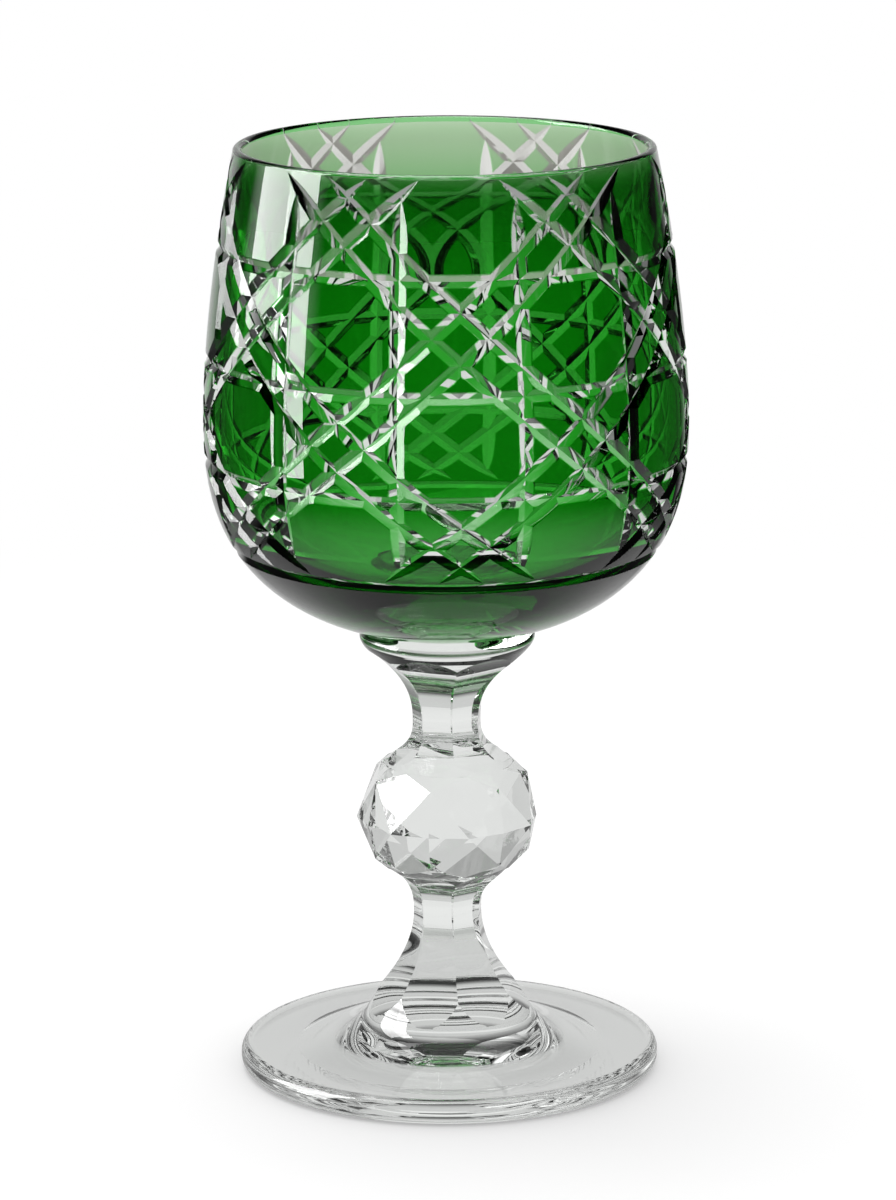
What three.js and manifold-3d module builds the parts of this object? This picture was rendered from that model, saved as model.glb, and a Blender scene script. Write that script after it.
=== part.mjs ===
// Stemmed drinking glass of cased and cut crystal: a clear bowl inside a green casing,
// a joining collar, a cut ball stem and a plain round foot.
// Millimetres, +Z up. The origin is on the axis, on the surface that the foot stands on.
// The front, with a column of crossed diamonds in its middle, faces -Y.

import * as THREE from 'three';
import { ConvexGeometry } from 'three/addons/geometries/ConvexGeometry.js';
import { mergeVertices } from 'three/addons/utils/BufferGeometryUtils.js';
import Module from 'manifold-3d';

const wasm = await Module();
wasm.setup();

// Foot
const footRadius = 33.5;
const footEdgeThickness = 4;
const footEdgeRounding = 1.8;
const footHeight = 8.4; // level of the seat that the stem stands on
const footSeatRadius = 16;
const footTopEase = 4.5; // how far the top swells out from the seat before it flattens
const footHollowRadius = 24; // shallow hollow underneath, so that the glass rests on a ring
const footHollowDepth = 1.1;

// Stem, measured from the foot's seat upwards
const lowerWaistRise = 16.5;
const lowerNeckLength = 25.1; // seat to the ball's lower shoulder
const ballHeight = 16.5; // shoulder to shoulder
const ballMiddleRise = 7.5; // lower shoulder to the points of its middle
const upperWaistRise = 6.7; // ball's upper shoulder to the upper waist
const upperNeckLength = 19.5; // ball's upper shoulder to the collar
const waistRadius = 5.6; // on the ridges, at both waists
const stemTopRadius = 13.4;
const shoulderRadius = 10.3; // where a neck meets the ball
const shoulderLedge = 0.3; // ball's shoulder beyond the neck
const ballRadius = 14.6; // on the points of the ball's middle
const ballMiddleRadius = 14.1; // between those points
const ballCornerDrop = 1.9; // from a shoulder to the side corners of the kite facets
const ballTurn = 9.5; // degrees from the front to the nearest kite
const blankAllowance = 0.7; // blank outside the ridges at the waists
const blankPowers = { foot: 1.67, ball: 2.4, collar: 1.5 }; // how each neck curves out

// Flutes cut down the stem
const fluteCount = 7;
const fluteTurn = 4; // degrees from the front to the nearest ridge
const fluteRunOut = 0.3; // how far a flute's mouth is cut beyond the blank
const flutePowers = { foot: 2.27, ball: 3, collar: 2.45 };

// Collar: the uncut disc that joins the stem to the bowl
const collarHeight = 2.8;
const collarRadius = 13.9;

// Bowl and casing
const bowlHeight = 76.6; // seat on the collar to the lip
const bowlSeatRadius = 13;
const bellyRise = 33.6; // seat to the widest place
const bellyRadius = 38.2;
const rimRadius = 32.8;
const baseSquareness = 2.6; // powers of the curve from the seat to the belly
const baseRoundness = 2.2;
const rimTaper = 1.65; // power of the curve from the belly to the rim
const lipThickness = 1.5;
const bowlWall = 2.9;
const baseThickness = 5.4;
const baseBlend = 16; // height over which the base thins to the wall
const rimBlend = 15; // height over which the wall thins to the lip
const webUnderCut = 0.3; // casing left under the deepest cut
const casingAtLip = 0.6;
const casingBlend = 3.2; // height over which the casing thins to the lip
const fusedGap = 0.05; // between the casing and the bowl that it is fused to

// Cut pattern: rings and upright cuts mark out a grid, and pairs of slanting cuts cross it
const columnCount = 12;
const firstRingDrop = 15.5; // lip to the first ring
const crownRow = 16; // pitch of the open row above the first ring
const rowHeights = [17.5, 16, 14.1];
const pairSpread = 0.46; // distance between the two cuts of a pair, in rows
const slantTipDrop = 0.7; // lip to the tips of the slanting cuts
const uprightTipDrop = 3.2;
const slantFootRise = 1; // last ring to the lower tips of the slanting cuts
const uprightFootRise = 1.8;
const cutDepth = 0.65;
const cutAngle = 120; // degrees between the two faces of a cut
const wheelRadius = 40;
const wheelOverlap = 0.6; // cutter standing proud of the surface

// Fineness of the round shapes
const facetsPerColumn = 2;
const facetsPerFlute = 4;
const aroundFoot = 36;
const outlineSteps = 6;
const edgeSteps = 3;
const baseSteps = 6;
const baseCrowding = 1.4; // draws the base's steps together towards the seat
const endClearance = 1; // how far a cutting shape passes the ends of its blank
const weldDistance = 1e-4; // points closer than this are one point
const slopeStep = 0.01; // height over which an outline's slope is measured
const leastStation = 0.05; // closest that a cut's stations come, as a share of a facet

// Levels that follow from the sizes above
const lowerWaist = footHeight + lowerWaistRise;
const ballBottom = footHeight + lowerNeckLength;
const ballMiddle = ballBottom + ballMiddleRise;
const ballTop = ballBottom + ballHeight;
const upperWaist = ballTop + upperWaistRise;
const stemTop = ballTop + upperNeckLength;
const bowlSeat = stemTop + collarHeight;
const belly = bowlSeat + bellyRise;
const lip = bowlSeat + bowlHeight;
const lipRounding = lipThickness / 2;
const wallTop = lip - lipRounding;
const casingWall = cutDepth + webUnderCut;
const aroundBowl = columnCount * facetsPerColumn;
const aroundStem = fluteCount * facetsPerFlute;
const column = (2 * Math.PI) / columnCount;

const point = (radius, height) => new THREE.Vector2(radius, height);
const radians = THREE.MathUtils.degToRad;

// Closed solid from a closed geometry, and back again
function toSolid(geometry) {
  const bare = geometry.clone();
  bare.deleteAttribute('normal');
  bare.deleteAttribute('uv');
  const merged = mergeVertices(bare, weldDistance);
  const triVerts = [];
  for (let i = 0; i < merged.index.count; i += 3) {
    const [a, b, c] = [0, 1, 2].map((k) => merged.index.getX(i + k));
    if (a !== b && b !== c && c !== a) triVerts.push(a, b, c);
  }
  const vertProperties = new Float32Array(merged.attributes.position.array);
  const mesh = new wasm.Mesh({ numProp: 3, vertProperties, triVerts: new Uint32Array(triVerts) });
  return new wasm.Manifold(mesh);
}

function toGeometry(solid) {
  const mesh = solid.getMesh();
  const geometry = new THREE.BufferGeometry();
  geometry.setAttribute('position', new THREE.BufferAttribute(mesh.vertProperties, 3));
  geometry.setIndex(new THREE.BufferAttribute(mesh.triVerts, 1));
  geometry.computeVertexNormals();
  return geometry;
}

// Turns an outline about the axis. The outline runs up the outside and back down the inside.
// It starts at the front, -Y.
function turned(outline, segments) {
  return new THREE.LatheGeometry(outline, segments).rotateX(Math.PI / 2);
}

// Outline that starts at one radius and level and bends towards another, as a power curve
function bend(from, to, power, steps) {
  const points = [];
  for (let i = 0; i <= steps; i += 1) {
    const share = i / steps;
    const level = from.y + (to.y - from.y) * share;
    points.push(point(from.x + (to.x - from.x) * share ** power, level));
  }
  return points;
}

// Neck between two wide ends: it bends out both ways from its waist
function neck(lowerEnd, waist, upperEnd, powers, steps) {
  const down = bend(waist, lowerEnd, powers.down, steps).reverse();
  const up = bend(waist, upperEnd, powers.up, steps);
  return [...down, ...up.slice(1)];
}

// Foot: rounded edge, hollow underside, top that sweeps up to the stem's seat
function footSolid() {
  const rounding = Math.min(footEdgeRounding, footEdgeThickness / 2);
  const restRadius = footRadius - rounding;
  const outline = [];
  for (let i = 0; i <= edgeSteps; i += 1) {
    const share = i / edgeSteps;
    outline.push(point(footHollowRadius * share, footHollowDepth * (1 - share * share)));
  }
  outline.push(point(restRadius, 0));
  for (let i = 1; i <= edgeSteps; i += 1) {
    const turn = -Math.PI / 2 + (Math.PI / 2) * (i / edgeSteps);
    outline.push(point(restRadius + rounding * Math.cos(turn), rounding + rounding * Math.sin(turn)));
  }
  const upperCentre = footEdgeThickness - rounding;
  for (let i = 0; i <= edgeSteps; i += 1) {
    const turn = (Math.PI / 2) * (i / edgeSteps);
    const radius = restRadius + rounding * Math.cos(turn);
    outline.push(point(radius, upperCentre + rounding * Math.sin(turn)));
  }
  const sweep = new THREE.QuadraticBezierCurve(
    point(restRadius, footEdgeThickness),
    point(footSeatRadius + footTopEase, footHeight - footTopEase),
    point(footSeatRadius, footHeight),
  );
  outline.push(...sweep.getPoints(outlineSteps).slice(1), point(0, footHeight));
  const isNew = (place, i) => i === 0 || place.distanceTo(outline[i - 1]) > weldDistance;
  return toSolid(turned(outline.filter(isNew), aroundFoot));
}

// Outline of the stem below and above the ball, which hides where the two meet
function stemOutline(footEnd, waist, ballEnd, topEnd, powers) {
  const lower = neck(
    point(footEnd, footHeight),
    point(waist, lowerWaist),
    point(ballEnd, ballBottom),
    { down: powers.foot, up: powers.ball },
    outlineSteps,
  );
  const upper = neck(
    point(ballEnd, ballTop),
    point(waist, upperWaist),
    point(topEnd, stemTop),
    { down: powers.ball, up: powers.collar },
    outlineSteps,
  );
  return [...lower, ...upper];
}

// Round blank of the stem, before it is cut
function stemBlank() {
  const waist = waistRadius + blankAllowance;
  const side = stemOutline(footSeatRadius, waist, shoulderRadius, stemTopRadius, blankPowers);
  const outline = [point(0, footHeight), ...side, point(0, stemTop)];
  return toSolid(turned(outline, aroundStem));
}

// Prism with one flat for each flute, flaring out past the blank where the flutes run out
function fluteEnvelope() {
  const mouth = (radius) => (radius + fluteRunOut) / Math.cos(Math.PI / fluteCount);
  const foot = mouth(footSeatRadius);
  const top = mouth(stemTopRadius);
  const side = stemOutline(foot, waistRadius, mouth(shoulderRadius), top, flutePowers);
  const low = footHeight - endClearance;
  const high = stemTop + endClearance;
  const outline = [point(0, low), point(foot, low), ...side, point(top, high), point(0, high)];
  return toSolid(turned(outline, fluteCount).rotateZ(radians(fluteTurn)));
}

// Cut ball: flat kite facets above and below a pointed middle
function ballSolid() {
  const step = (2 * Math.PI) / fluteCount;
  const shoulderRing = shoulderRadius + shoulderLedge;
  const corners = [];
  const put = (turn, radius, level) => {
    corners.push(new THREE.Vector3(radius * Math.sin(turn), -radius * Math.cos(turn), level));
  };
  for (let i = 0; i < fluteCount; i += 1) {
    const ridge = radians(ballTurn) + i * step;
    const between = ridge + step / 2;
    for (const shoulder of [ballTop, ballBottom]) {
      const height = ballMiddle - shoulder;
      const drop = Math.sign(height) * ballCornerDrop;
      const flat = shoulderRing + ((ballRadius - shoulderRing) * drop) / height;
      put(ridge, shoulderRing, shoulder);
      put(between, shoulderRing, shoulder);
      put(between, flat / Math.cos(step / 2), shoulder + drop);
    }
    put(ridge, ballRadius, ballMiddle);
    put(between, ballMiddleRadius, ballMiddle);
  }
  return toSolid(new ConvexGeometry(corners));
}

function stemSolid() {
  return stemBlank().intersect(fluteEnvelope()).add(ballSolid());
}

function collarSolid() {
  const side = new THREE.SplineCurve([
    point(stemTopRadius, stemTop),
    point(collarRadius, stemTop + collarHeight / 2),
    point(bowlSeatRadius, bowlSeat),
  ]);
  const outline = [point(0, stemTop), ...side.getPoints(outlineSteps), point(0, bowlSeat)];
  return toSolid(turned(outline, aroundStem));
}

// Outside of the bowl: radius at a level, and the outline's points with their normals
function outerRadius(level) {
  if (level >= belly) {
    const share = (level - belly) / (lip - belly);
    return bellyRadius - (bellyRadius - rimRadius) * share ** rimTaper;
  }
  const seatShare = (1 - (bowlSeatRadius / bellyRadius) ** baseRoundness) ** (1 / baseSquareness);
  const share = (seatShare * (belly - level)) / bellyRise;
  return bellyRadius * (1 - share ** baseSquareness) ** (1 / baseRoundness);
}

function outerNormal(level) {
  const low = Math.max(level - slopeStep / 2, bowlSeat);
  const high = low + slopeStep;
  const slope = (outerRadius(high) - outerRadius(low)) / (high - low);
  return point(1, -slope).normalize();
}

// Levels of the outline: closer together in the round base, and on the grid's lines above it
function outlineLevels() {
  const lastRing = gridLevel(rowHeights.length);
  const levels = [];
  for (let i = 0; i < baseSteps; i += 1) {
    levels.push(bowlSeat + (lastRing - bowlSeat) * (i / baseSteps) ** baseCrowding);
  }
  for (let i = 2 * rowHeights.length; i >= 0; i -= 1) levels.push(gridLevel(i / 2));
  levels.push((gridLevel(0) + wallTop) / 2, wallTop);
  return levels;
}

// The outside moved inwards by a thickness that depends on the level
function insetOutline(thicknessAt) {
  return outlineLevels().map((level) => {
    const normal = outerNormal(level);
    const thickness = thicknessAt(level);
    return point(outerRadius(level) - normal.x * thickness, level - normal.y * thickness);
  });
}

function wallThickness(level) {
  const rise = Math.max(0, 1 - (level - bowlSeat) / baseBlend);
  const thin = Math.max(0, 1 - (wallTop - level) / rimBlend);
  return bowlWall + (baseThickness - bowlWall) * rise ** 2 - (bowlWall - lipThickness) * thin;
}

function casingThickness(level) {
  const thin = Math.max(0, 1 - (wallTop - level) / casingBlend);
  return casingWall - (casingWall - casingAtLip) * thin;
}

// Part of the lip's half round, between two depths in from its outside
function lipArc(fromDepth, toDepth) {
  const centre = outerRadius(wallTop) - lipRounding;
  const turnAt = (depth) => Math.acos(1 - depth / lipRounding);
  const start = turnAt(fromDepth);
  const end = turnAt(toDepth);
  const points = [];
  for (let i = 0; i <= edgeSteps; i += 1) {
    const turn = start + (end - start) * (i / edgeSteps);
    points.push(point(centre + lipRounding * Math.cos(turn), wallTop + lipRounding * Math.sin(turn)));
  }
  return points;
}

// Clear bowl: solid base, wall that thins upwards, round lip
function bowlSolid() {
  const outside = insetOutline((level) => casingThickness(level) + fusedGap);
  const inside = insetOutline(wallThickness).reverse();
  const outline = [
    point(0, outside[0].y),
    ...outside,
    ...lipArc(casingAtLip + fusedGap, lipThickness),
    ...inside.slice(1),
    point(0, inside[inside.length - 1].y),
  ];
  return toSolid(turned(outline, aroundBowl));
}

// Green casing before it is cut: a cup that lies on the bowl from the seat to the lip
function uncutCasing() {
  const inside = insetOutline(casingThickness).reverse();
  const outline = [
    point(0, bowlSeat),
    ...insetOutline(() => 0),
    ...lipArc(0, casingAtLip).slice(1),
    ...inside,
    point(0, inside[inside.length - 1].y),
  ];
  return toSolid(turned(outline, aroundBowl));
}

// Level of a place in the grid: 0 is the first ring, 1 the second, and so on downwards
function gridLevel(row) {
  let level = lip - firstRingDrop;
  if (row < 0) return level - row * crownRow;
  for (let i = 0; i < rowHeights.length; i += 1) {
    const part = i === rowHeights.length - 1 ? row - i : Math.min(row - i, 1);
    if (part > 0) level -= part * rowHeights[i];
  }
  return level;
}

const rowAtDrop = (drop) => (drop - firstRingDrop) / crownRow;
const rowAboveLast = (rise) => rowHeights.length - rise / rowHeights[rowHeights.length - 1];

// Place on the bowl's outside, and its normal. Between two of the bowl's edges it is on the flat.
function surfaceAt(turn, level) {
  const facet = (2 * Math.PI) / aroundBowl;
  const offEdge = turn - facet * Math.floor(turn / facet);
  const radius = outerRadius(level) * (Math.cos(facet / 2) / Math.cos(offEdge - facet / 2));
  const normal = outerNormal(level);
  const outward = new THREE.Vector3(Math.sin(turn), -Math.cos(turn), 0);
  return {
    place: outward.clone().multiplyScalar(radius).setZ(level),
    normal: outward.multiplyScalar(normal.x).setZ(normal.y),
  };
}

// One pass of the cutting wheel: a V along a path of [angle, row], running out at both ends
function wheelCut(path) {
  const frames = path.map(([turn, row]) => surfaceAt(turn, gridLevel(row)));
  const along = [0];
  for (let i = 1; i < frames.length; i += 1) {
    along.push(along[i - 1] + frames[i].place.distanceTo(frames[i - 1].place));
  }
  const length = along[along.length - 1];
  const runOut = Math.sqrt(2 * wheelRadius * cutDepth);
  const spread = Math.tan(radians(cutAngle / 2));
  const positions = [];
  frames.forEach(({ place, normal }, i) => {
    const next = frames[Math.min(i + 1, frames.length - 1)].place;
    const last = frames[Math.max(i - 1, 0)].place;
    const side = next.clone().sub(last).cross(normal).normalize();
    const short = Math.max(0, runOut - Math.min(along[i], length - along[i]));
    const depth = cutDepth - (short * short) / (2 * wheelRadius);
    const half = (depth + wheelOverlap) * spread;
    const top = place.clone().addScaledVector(normal, wheelOverlap);
    positions.push(place.clone().addScaledVector(normal, -depth));
    positions.push(top.clone().addScaledVector(side, half));
    positions.push(top.clone().addScaledVector(side, -half));
  });
  const index = [0, 1, 2];
  for (let i = 0; i < frames.length - 1; i += 1) {
    for (let k = 0; k < 3; k += 1) {
      const a = 3 * i + k;
      const b = 3 * i + ((k + 1) % 3);
      index.push(a, a + 3, b, b, a + 3, b + 3);
    }
  }
  const end = 3 * (frames.length - 1);
  index.push(end, end + 2, end + 1);
  const geometry = new THREE.BufferGeometry().setFromPoints(positions);
  geometry.setIndex(index);
  return toSolid(geometry);
}

// Ring cut: the same V, turned about the axis
function ringCut(row) {
  const level = gridLevel(row);
  const centre = point(outerRadius(level), level);
  const normal = outerNormal(level);
  const side = point(-normal.y, normal.x);
  const half = (cutDepth + wheelOverlap) * Math.tan(radians(cutAngle / 2));
  const bottom = centre.clone().addScaledVector(normal, -cutDepth);
  const top = centre.clone().addScaledVector(normal, wheelOverlap);
  const lower = top.clone().addScaledVector(side, -half);
  const upper = top.clone().addScaledVector(side, half);
  return toSolid(turned([bottom, lower, upper, bottom.clone()], aroundBowl));
}

// Path of a straight cut between two rows. Its middle stations lie on the bowl's edges.
function cutPath(fromRow, toRow, turnAt, edgeRow) {
  const pitch = 1 / facetsPerColumn;
  const rows = [fromRow];
  const first = edgeRow + pitch * Math.ceil((fromRow - edgeRow) / pitch + leastStation);
  for (let row = first; row < toRow - leastStation * pitch; row += pitch) rows.push(row);
  rows.push(toRow);
  return rows.map((row) => [turnAt(row), row]);
}

// All cuts: rings, uprights between the columns, and pairs of slanting cuts both ways
function patternCuts() {
  const cuts = [];
  for (let row = 0; row <= rowHeights.length; row += 1) cuts.push(ringCut(row));
  const uprightTop = rowAtDrop(uprightTipDrop);
  const uprightFoot = rowAboveLast(uprightFootRise);
  const slantTop = rowAtDrop(slantTipDrop);
  const slantFoot = rowAboveLast(slantFootRise);
  for (let i = 0; i < columnCount; i += 1) {
    const turn = (i + 0.5) * column;
    cuts.push(wheelCut(cutPath(uprightTop, uprightFoot, () => turn, 0)));
  }
  for (let i = 0; i < columnCount; i += 2) {
    for (const lean of [-1, 1]) {
      for (const offset of [-pairSpread / 2, pairSpread / 2]) {
        const middleRow = 0.5 + offset;
        const turnAt = (row) => (i + lean * (row - middleRow)) * column;
        cuts.push(wheelCut(cutPath(slantTop, slantFoot, turnAt, middleRow)));
      }
    }
  }
  return cuts;
}

function casingSolid() {
  return patternCuts().reduce((solid, cut) => solid.subtract(cut), uncutCasing());
}

const crystal = { color: 0xe6ebe6, roughness: 0.03, metalness: 0, transparent: true, opacity: 0.45 };
const greenGlass = { color: 0x1c7a26, roughness: 0.03, metalness: 0, transparent: true, opacity: 0.7 };

function piece(name, solid, look) {
  const mesh = new THREE.Mesh(toGeometry(solid), new THREE.MeshStandardMaterial(look));
  mesh.name = name;
  return mesh;
}

const glass = new THREE.Group();
glass.add(
  piece('foot', footSolid(), crystal),
  piece('stem', stemSolid(), crystal),
  piece('collar', collarSolid(), crystal),
  piece('bowl', bowlSolid(), crystal),
  piece('green_casing', casingSolid(), greenGlass),
);

export default glass;
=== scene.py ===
import math

import bmesh
import bpy
import numpy as np
from mathutils import Matrix, Vector


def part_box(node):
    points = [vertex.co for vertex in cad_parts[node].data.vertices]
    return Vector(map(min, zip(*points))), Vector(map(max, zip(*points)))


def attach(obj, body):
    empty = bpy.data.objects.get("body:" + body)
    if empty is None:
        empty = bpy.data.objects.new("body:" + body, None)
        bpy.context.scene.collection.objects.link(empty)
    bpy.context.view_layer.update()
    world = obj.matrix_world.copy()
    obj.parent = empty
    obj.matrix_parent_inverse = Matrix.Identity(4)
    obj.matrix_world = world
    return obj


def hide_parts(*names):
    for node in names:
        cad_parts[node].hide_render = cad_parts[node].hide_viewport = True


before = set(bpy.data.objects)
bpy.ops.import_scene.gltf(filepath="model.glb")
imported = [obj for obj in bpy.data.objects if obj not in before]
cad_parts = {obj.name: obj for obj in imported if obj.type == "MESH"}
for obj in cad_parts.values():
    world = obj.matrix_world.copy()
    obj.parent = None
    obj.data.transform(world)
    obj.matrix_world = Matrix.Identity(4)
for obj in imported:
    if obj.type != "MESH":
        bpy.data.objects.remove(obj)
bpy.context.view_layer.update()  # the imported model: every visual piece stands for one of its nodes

print("stage: frame loaded")

mm = 0.001  # in metres
metre = 1000  # in millimetres
onAxis = 1e-6  # mm: a point closer to the axis is on it
samePlace = 1e-4  # mm: outline points closer together are one
tiny = 1e-12  # keeps a division from meeting nought


def addNode(tree, kind, values={}, links={}):  # a node with its settings, values and links
    made = tree.nodes.new(kind)
    for name, value in values.items():
        if isinstance(name, str) and hasattr(made, name):
            setattr(made, name, value)
        else:
            made.inputs[name].default_value = value
    for name, socket in links.items():
        tree.links.new(socket, made.inputs[name])
    return made


def toLinear(hexColour):  # sRGB hex to the linear colour that a shader takes
    parts = [int(hexColour[i:i + 2], 16) / 255 for i in (1, 3, 5)]
    linear = [c / 12.92 if c <= 0.04045 else ((c + 0.055) / 1.055) ** 2.4 for c in parts]
    return (*linear, 1.0)


def newMaterial(name):
    made = bpy.data.materials.new(name)
    made.use_nodes = True
    made.node_tree.nodes.clear()
    return made, made.node_tree


shownFace, fusedFace, cutFace, insideFace = range(4)  # kinds of face, which are also slot numbers


def smoothRun(points, kind=shownFace):  # an outline's smooth stretch, with its outward normals
    points = np.array(points, dtype=float)
    along = np.gradient(points, axis=0)
    normals = np.stack([along[:, 1], -along[:, 0]], axis=1)
    normals /= np.linalg.norm(normals, axis=1, keepdims=True)
    return {"points": points, "normals": normals, "kind": kind}


def settled(piece):  # the piece's modifiers made plain mesh
    bpy.context.view_layer.update()
    graph = bpy.context.evaluated_depsgraph_get()
    mesh = bpy.data.meshes.new_from_object(piece.evaluated_get(graph), depsgraph=graph)
    old = piece.data
    piece.modifiers.clear()
    piece.data = mesh
    bpy.data.meshes.remove(old)
    return piece


def newPiece(name, points, faces):  # points in millimetres, the mesh in metres
    mesh = bpy.data.meshes.new(name)
    mesh.from_pydata([tuple(mm * c for c in p) for p in points], [], faces)
    mesh.update()
    piece = bpy.data.objects.new(name, mesh)
    bpy.context.scene.collection.objects.link(piece)
    return piece


def turnedPiece(name, outlines, segments):  # closed outlines turned about the axis
    points, faces = [], []
    for outline in outlines:
        rings = []
        for radius, level in outline:
            if radius < onAxis:
                rings.append([len(points)] * segments)
                points.append((0, 0, level))
                continue
            rings.append(list(range(len(points), len(points) + segments)))
            for i in range(segments):
                turn = 2 * math.pi * i / segments
                points.append((radius * math.sin(turn), -radius * math.cos(turn), level))
        if outline[0][0] > onAxis:
            rings.append(rings[0])  # an outline off the axis closes on itself
        for low, high in zip(rings[:-1], rings[1:]):
            for i in range(segments):
                j = (i + 1) % segments
                corners = list(dict.fromkeys([low[i], low[j], high[j], high[i]]))
                if len(corners) > 2:
                    faces.append(corners)
    return newPiece(name, points, faces)


def wholeOutline(runs):  # the runs joined to one outline, without doubled points
    points = np.concatenate([run["points"] for run in runs])
    keep = [True, *(np.linalg.norm(np.diff(points, axis=0), axis=1) > samePlace)]
    return points[np.array(keep)]


def change(piece, cutters, operation):
    for cutter in cutters:
        step = piece.modifiers.new(operation.lower(), "BOOLEAN")
        step.operation = operation
        step.solver = "MANIFOLD"
        step.object = cutter
    return settled(piece)


def discard(pieces):
    for piece in pieces:
        bpy.data.objects.remove(piece)


def nearestOnRun(run, places):  # distance from each place to the run, and the run's normal there
    points, normals = run["points"], run["normals"]
    nearest = np.full(len(places), np.inf)
    found = np.zeros((len(places), 2))
    for i in range(len(points) - 1):
        side = points[i + 1] - points[i]
        share = np.clip((places - points[i]) @ side / max(side @ side, tiny), 0, 1)
        away = np.linalg.norm(places - points[i] - share[:, None] * side, axis=1)
        closer = away < nearest
        nearest[closer] = away[closer]
        blend = normals[i] * (1 - share[:, None]) + normals[i + 1] * share[:, None]
        found[closer] = blend[closer]
    return nearest, found / np.maximum(np.linalg.norm(found, axis=1, keepdims=True), tiny)


def alongCut(cut, places):  # nearest spot of a cut's deepest line, as a share of its stations
    stations = cut["bottom"]
    nearest = np.empty(len(places), dtype=int)
    batch = smoothing["batch"]
    for start in range(0, len(places), batch):
        some = places[start:start + batch]
        away = ((some[:, None, :] - stations[None, :, :]) ** 2).sum(2)
        nearest[start:start + batch] = away.argmin(1)
    line = np.gradient(stations, axis=0)
    ahead = ((places - stations[nearest]) * line[nearest]).sum(1) / (line[nearest] ** 2).sum(1)
    return np.clip(nearest + np.clip(ahead, -1, 1), 0, len(stations) - 1)


def atStations(values, share):
    low = np.minimum(share.astype(int), len(values) - 2)
    part = (share - low)[:, None]
    return values[low] * (1 - part) + values[low + 1] * part


def spun(vectors, turn):
    c, s = math.cos(turn), math.sin(turn)
    x, y = vectors[:, 0], vectors[:, 1]
    return np.stack([x * c - y * s, x * s + y * c, vectors[:, 2]], axis=1)


smoothing = {
    "cutAngle": 12,  # degrees: cut faces that meet at less are shaded as one
    "reach": 0.03,  # mm from the outline within which a face belongs to it
    "likeness": 0.96,  # cosine between the face and the outline's normal
    "offAxis": 0.01,  # mm from the axis beyond which a corner has its own direction
    "batch": 4000,  # places compared with a cut at one time
}


def cutOwners(cuts, centres, faceNormals, loose):  # which side of which cut made each face
    owner = np.full(len(centres), -1)
    closest = np.full(len(centres), smoothing["reach"])
    owners = [(cut, turn, side) for cut in cuts for turn in cut["turns"] for side in cut["sides"]]
    for number, (cut, turn, side) in enumerate(owners):
        places = spun(centres[loose], -turn)
        if side == next(iter(cut["sides"])):
            share = alongCut(cut, places)
        normal = atStations(cut["sides"][side], share)
        away = np.abs(((places - atStations(cut["bottom"], share)) * normal).sum(1))
        alike = (spun(faceNormals[loose], -turn) * normal).sum(1) > smoothing["likeness"]
        width = np.linalg.norm(places - atStations(cut["bottom"], share), axis=1) < cut["reach"]
        mine = alike & width & (away < closest[loose])
        closest[loose[mine]] = away[mine]
        owner[loose[mine]] = number
    return owner, owners


def dress(piece, families, cuts=()):  # true normals on the faces, and the kind of each
    mesh = piece.data
    faceCount, cornerCount = len(mesh.polygons), len(mesh.loops)
    mesh.polygons.foreach_set("use_smooth", [True] * faceCount)
    mesh.set_sharp_from_angle(angle=math.radians(smoothing["cutAngle"]))

    def read(source, name, shape, kind=float):
        values = np.zeros(int(np.prod(shape)), dtype=kind)
        source.foreach_get(name, values)
        return values.reshape(shape)

    centres = read(mesh.polygons, "center", (faceCount, 3)) * metre
    faceNormals = read(mesh.polygons, "normal", (faceCount, 3))
    totals = read(mesh.polygons, "loop_total", (faceCount,), int)
    cornerPoint = read(mesh.loops, "vertex_index", (cornerCount,), int)
    places = read(mesh.vertices, "co", (len(mesh.vertices), 3))[cornerPoint] * metre
    normals = read(mesh.corner_normals, "vector", (cornerCount, 3))
    faceOf = np.repeat(np.arange(faceCount), totals)
    kinds = np.full(faceCount, cutFace)
    taken = np.zeros(faceCount, dtype=bool)
    for family in families:
        flutes = family.get("flutes")
        turn = np.arctan2(centres[:, 0], -centres[:, 1])
        if flutes:  # the flat that a face lies on
            step = 2 * math.pi / flutes
            first = math.radians(family["firstRidge"]) + step / 2
            turn = np.round((turn - first) / step) * step + first
        outward = np.stack([np.sin(turn), -np.cos(turn)], axis=1)
        across = (centres[:, :2] * outward).sum(1)
        flat = np.stack([across, centres[:, 2]], axis=1)
        facing = np.stack([(faceNormals[:, :2] * outward).sum(1), faceNormals[:, 2]], axis=1)
        for run in family["runs"]:
            away, normal = nearestOnRun(run, flat)
            mine = ~taken & (away < smoothing["reach"])
            mine &= (normal * facing).sum(1) > smoothing["likeness"]
            taken |= mine
            kinds[mine] = run["kind"]
            corners = np.nonzero(mine[faceOf])[0]
            if not len(corners):
                continue
            at = places[corners]
            radial = outward[faceOf[corners]].copy()
            if not flutes:
                reach = np.linalg.norm(at[:, :2], axis=1)
                off = reach > smoothing["offAxis"]
                radial[off] = at[off, :2] / reach[off, None]
            spot = np.stack([(at[:, :2] * radial).sum(1), at[:, 2]], axis=1)
            _, bend = nearestOnRun(run, spot)
            normals[corners] = np.concatenate([radial * bend[:, :1], bend[:, 1:]], axis=1)
    owner, owners = cutOwners(cuts, centres, faceNormals, np.nonzero(~taken)[0])
    for number, (cut, turn, side) in enumerate(owners):
        corners = np.nonzero(owner[faceOf] == number)[0]
        if len(corners):
            share = alongCut(cut, spun(places[corners], -turn))
            normals[corners] = spun(atStations(cut["sides"][side], share), turn)
    mesh.normals_split_custom_set(normals.tolist())
    return kinds


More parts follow.
